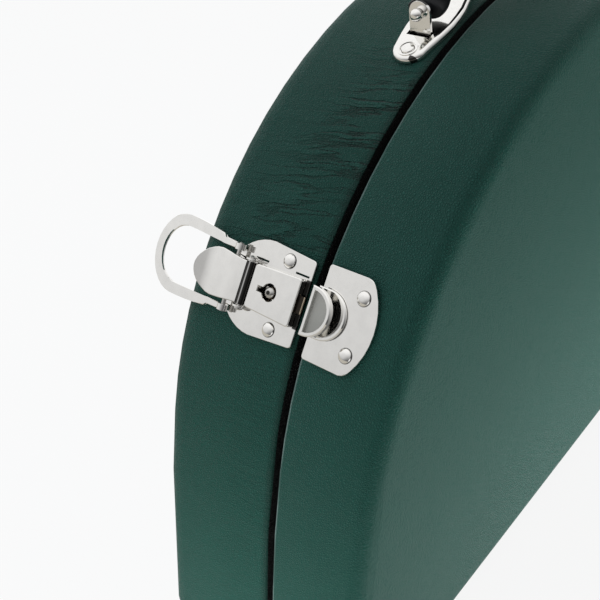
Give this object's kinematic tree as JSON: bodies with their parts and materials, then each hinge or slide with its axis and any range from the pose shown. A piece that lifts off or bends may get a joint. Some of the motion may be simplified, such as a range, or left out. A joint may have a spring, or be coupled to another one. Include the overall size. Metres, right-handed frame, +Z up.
{
  "type": "horn case",
  "caption": "Half-moon carrying case for a small brass horn: leathercloth shells, fitted bed, keyed draw latches, leather handle on the rim.",
  "frame": {"origin": "on the ground, under the middle of the box round the case at rest", "axes": "+X to the right seen from the lid, along the flat side; +Y to the back shell; +Z up, from the flat hinge side to the handle"},
  "size_m": [0.4976, 0.155, 0.3331],
  "materials": {
    "leather": "semi-matt dark green leathercloth with fine grain",
    "grip_leather": "smooth black leather",
    "nickel": "polished nickel plate, mirror-bright",
    "steel": "plain bright steel",
    "brass": "plain brass",
    "plush": "short black plush",
    "fibre": "dark cloth-covered fibre strip"
  },
  "bodies": {
    "case_back": {"back_shell": "leather", "rim_tongue": "fibre", "back_bed": "plush", "handle_plate": "nickel", "back_foot_left": "nickel", "upper_stud_left": "nickel", "lower_stud_left": "nickel", "hinge_back_left": "nickel", "hinge_pin_left": "steel", "base_plate_left": "nickel", "lock_cover_left": "nickel", "key_post_left": "steel", "lever_axle_left": "steel", "rivet_upper_left": "nickel", "rivet_lower_left": "nickel", "handle_lug_left": "nickel", "handle_rivet_left": "nickel", "back_foot_right": "nickel", "upper_stud_right": "nickel", "lower_stud_right": "nickel", "hinge_back_right": "nickel", "hinge_pin_right": "steel", "base_plate_right": "nickel", "lock_cover_right": "nickel", "key_post_right": "steel", "lever_axle_right": "steel", "rivet_upper_right": "nickel", "rivet_lower_right": "nickel", "handle_lug_right": "nickel", "handle_rivet_right": "nickel"},
    "lid": {"front_shell": "leather", "lid_pad": "plush", "lid_foot_left": "nickel", "hinge_front_left": "nickel", "hook_plate_left": "nickel", "catch_left": "nickel", "hook_rivet_upper_left": "nickel", "hook_rivet_lower_left": "nickel", "lid_foot_right": "nickel", "hinge_front_right": "nickel", "hook_plate_right": "nickel", "catch_right": "nickel", "hook_rivet_upper_right": "nickel", "hook_rivet_lower_right": "nickel"},
    "lever_left_arm": {"lever_left": "nickel", "bail_axle_left": "steel"},
    "bail_left_loop": {"bail_left": "nickel"},
    "bolt_left": {"lock_bolt_left": "brass"},
    "lever_right_arm": {"lever_right": "nickel", "bail_axle_right": "steel"},
    "bail_right_loop": {"bail_right": "nickel"},
    "bolt_right": {"lock_bolt_right": "brass"},
    "handle": {"handle_grip": "grip_leather", "handle_end_left": "nickel", "handle_end_right": "nickel"}
  },
  "joints": [
    {"name": "lid_hinge", "type": "hinge", "parent": "case_back", "child": "lid", "pos_m": [0, -0.02454, 0.006], "axis": [1, 0, 0], "range_deg": [0, 100]},
    {"name": "lever_left_lift", "type": "hinge", "parent": "case_back", "child": "lever_left_arm", "pos_m": [-0.18128, 0.01056, 0.21401], "axis": [0.6347, 0, 0.7727], "range_deg": [0, 110]},
    {"name": "bail_left_throw", "type": "hinge", "parent": "lever_left_arm", "child": "bail_left_loop", "pos_m": [-0.18167, 0.01926, 0.21432], "axis": [-0.6347, 0, -0.7727], "range_deg": [-188.5, 0]},
    {"name": "bolt_left_slide", "type": "slide", "parent": "case_back", "child": "bolt_left", "axis": [0, 1, 0], "range_m": [0, 0.0025]},
    {"name": "lever_right_lift", "type": "hinge", "parent": "case_back", "child": "lever_right_arm", "pos_m": [0.18128, 0.01056, 0.21401], "axis": [0.6347, 0, -0.7727], "range_deg": [0, 110]},
    {"name": "bail_right_throw", "type": "hinge", "parent": "lever_right_arm", "child": "bail_right_loop", "pos_m": [0.18167, 0.01926, 0.21432], "axis": [-0.6347, 0, 0.7727], "range_deg": [-188.5, 0]},
    {"name": "bolt_right_slide", "type": "slide", "parent": "case_back", "child": "bolt_right", "axis": [0, 1, 0], "range_m": [0, 0.0025]},
    {"name": "handle_swing", "type": "hinge", "parent": "case_back", "child": "handle", "pos_m": [0, -0.00944, 0.29849], "axis": [1, 0, 0], "range_deg": [-40, 40]}
  ]
}
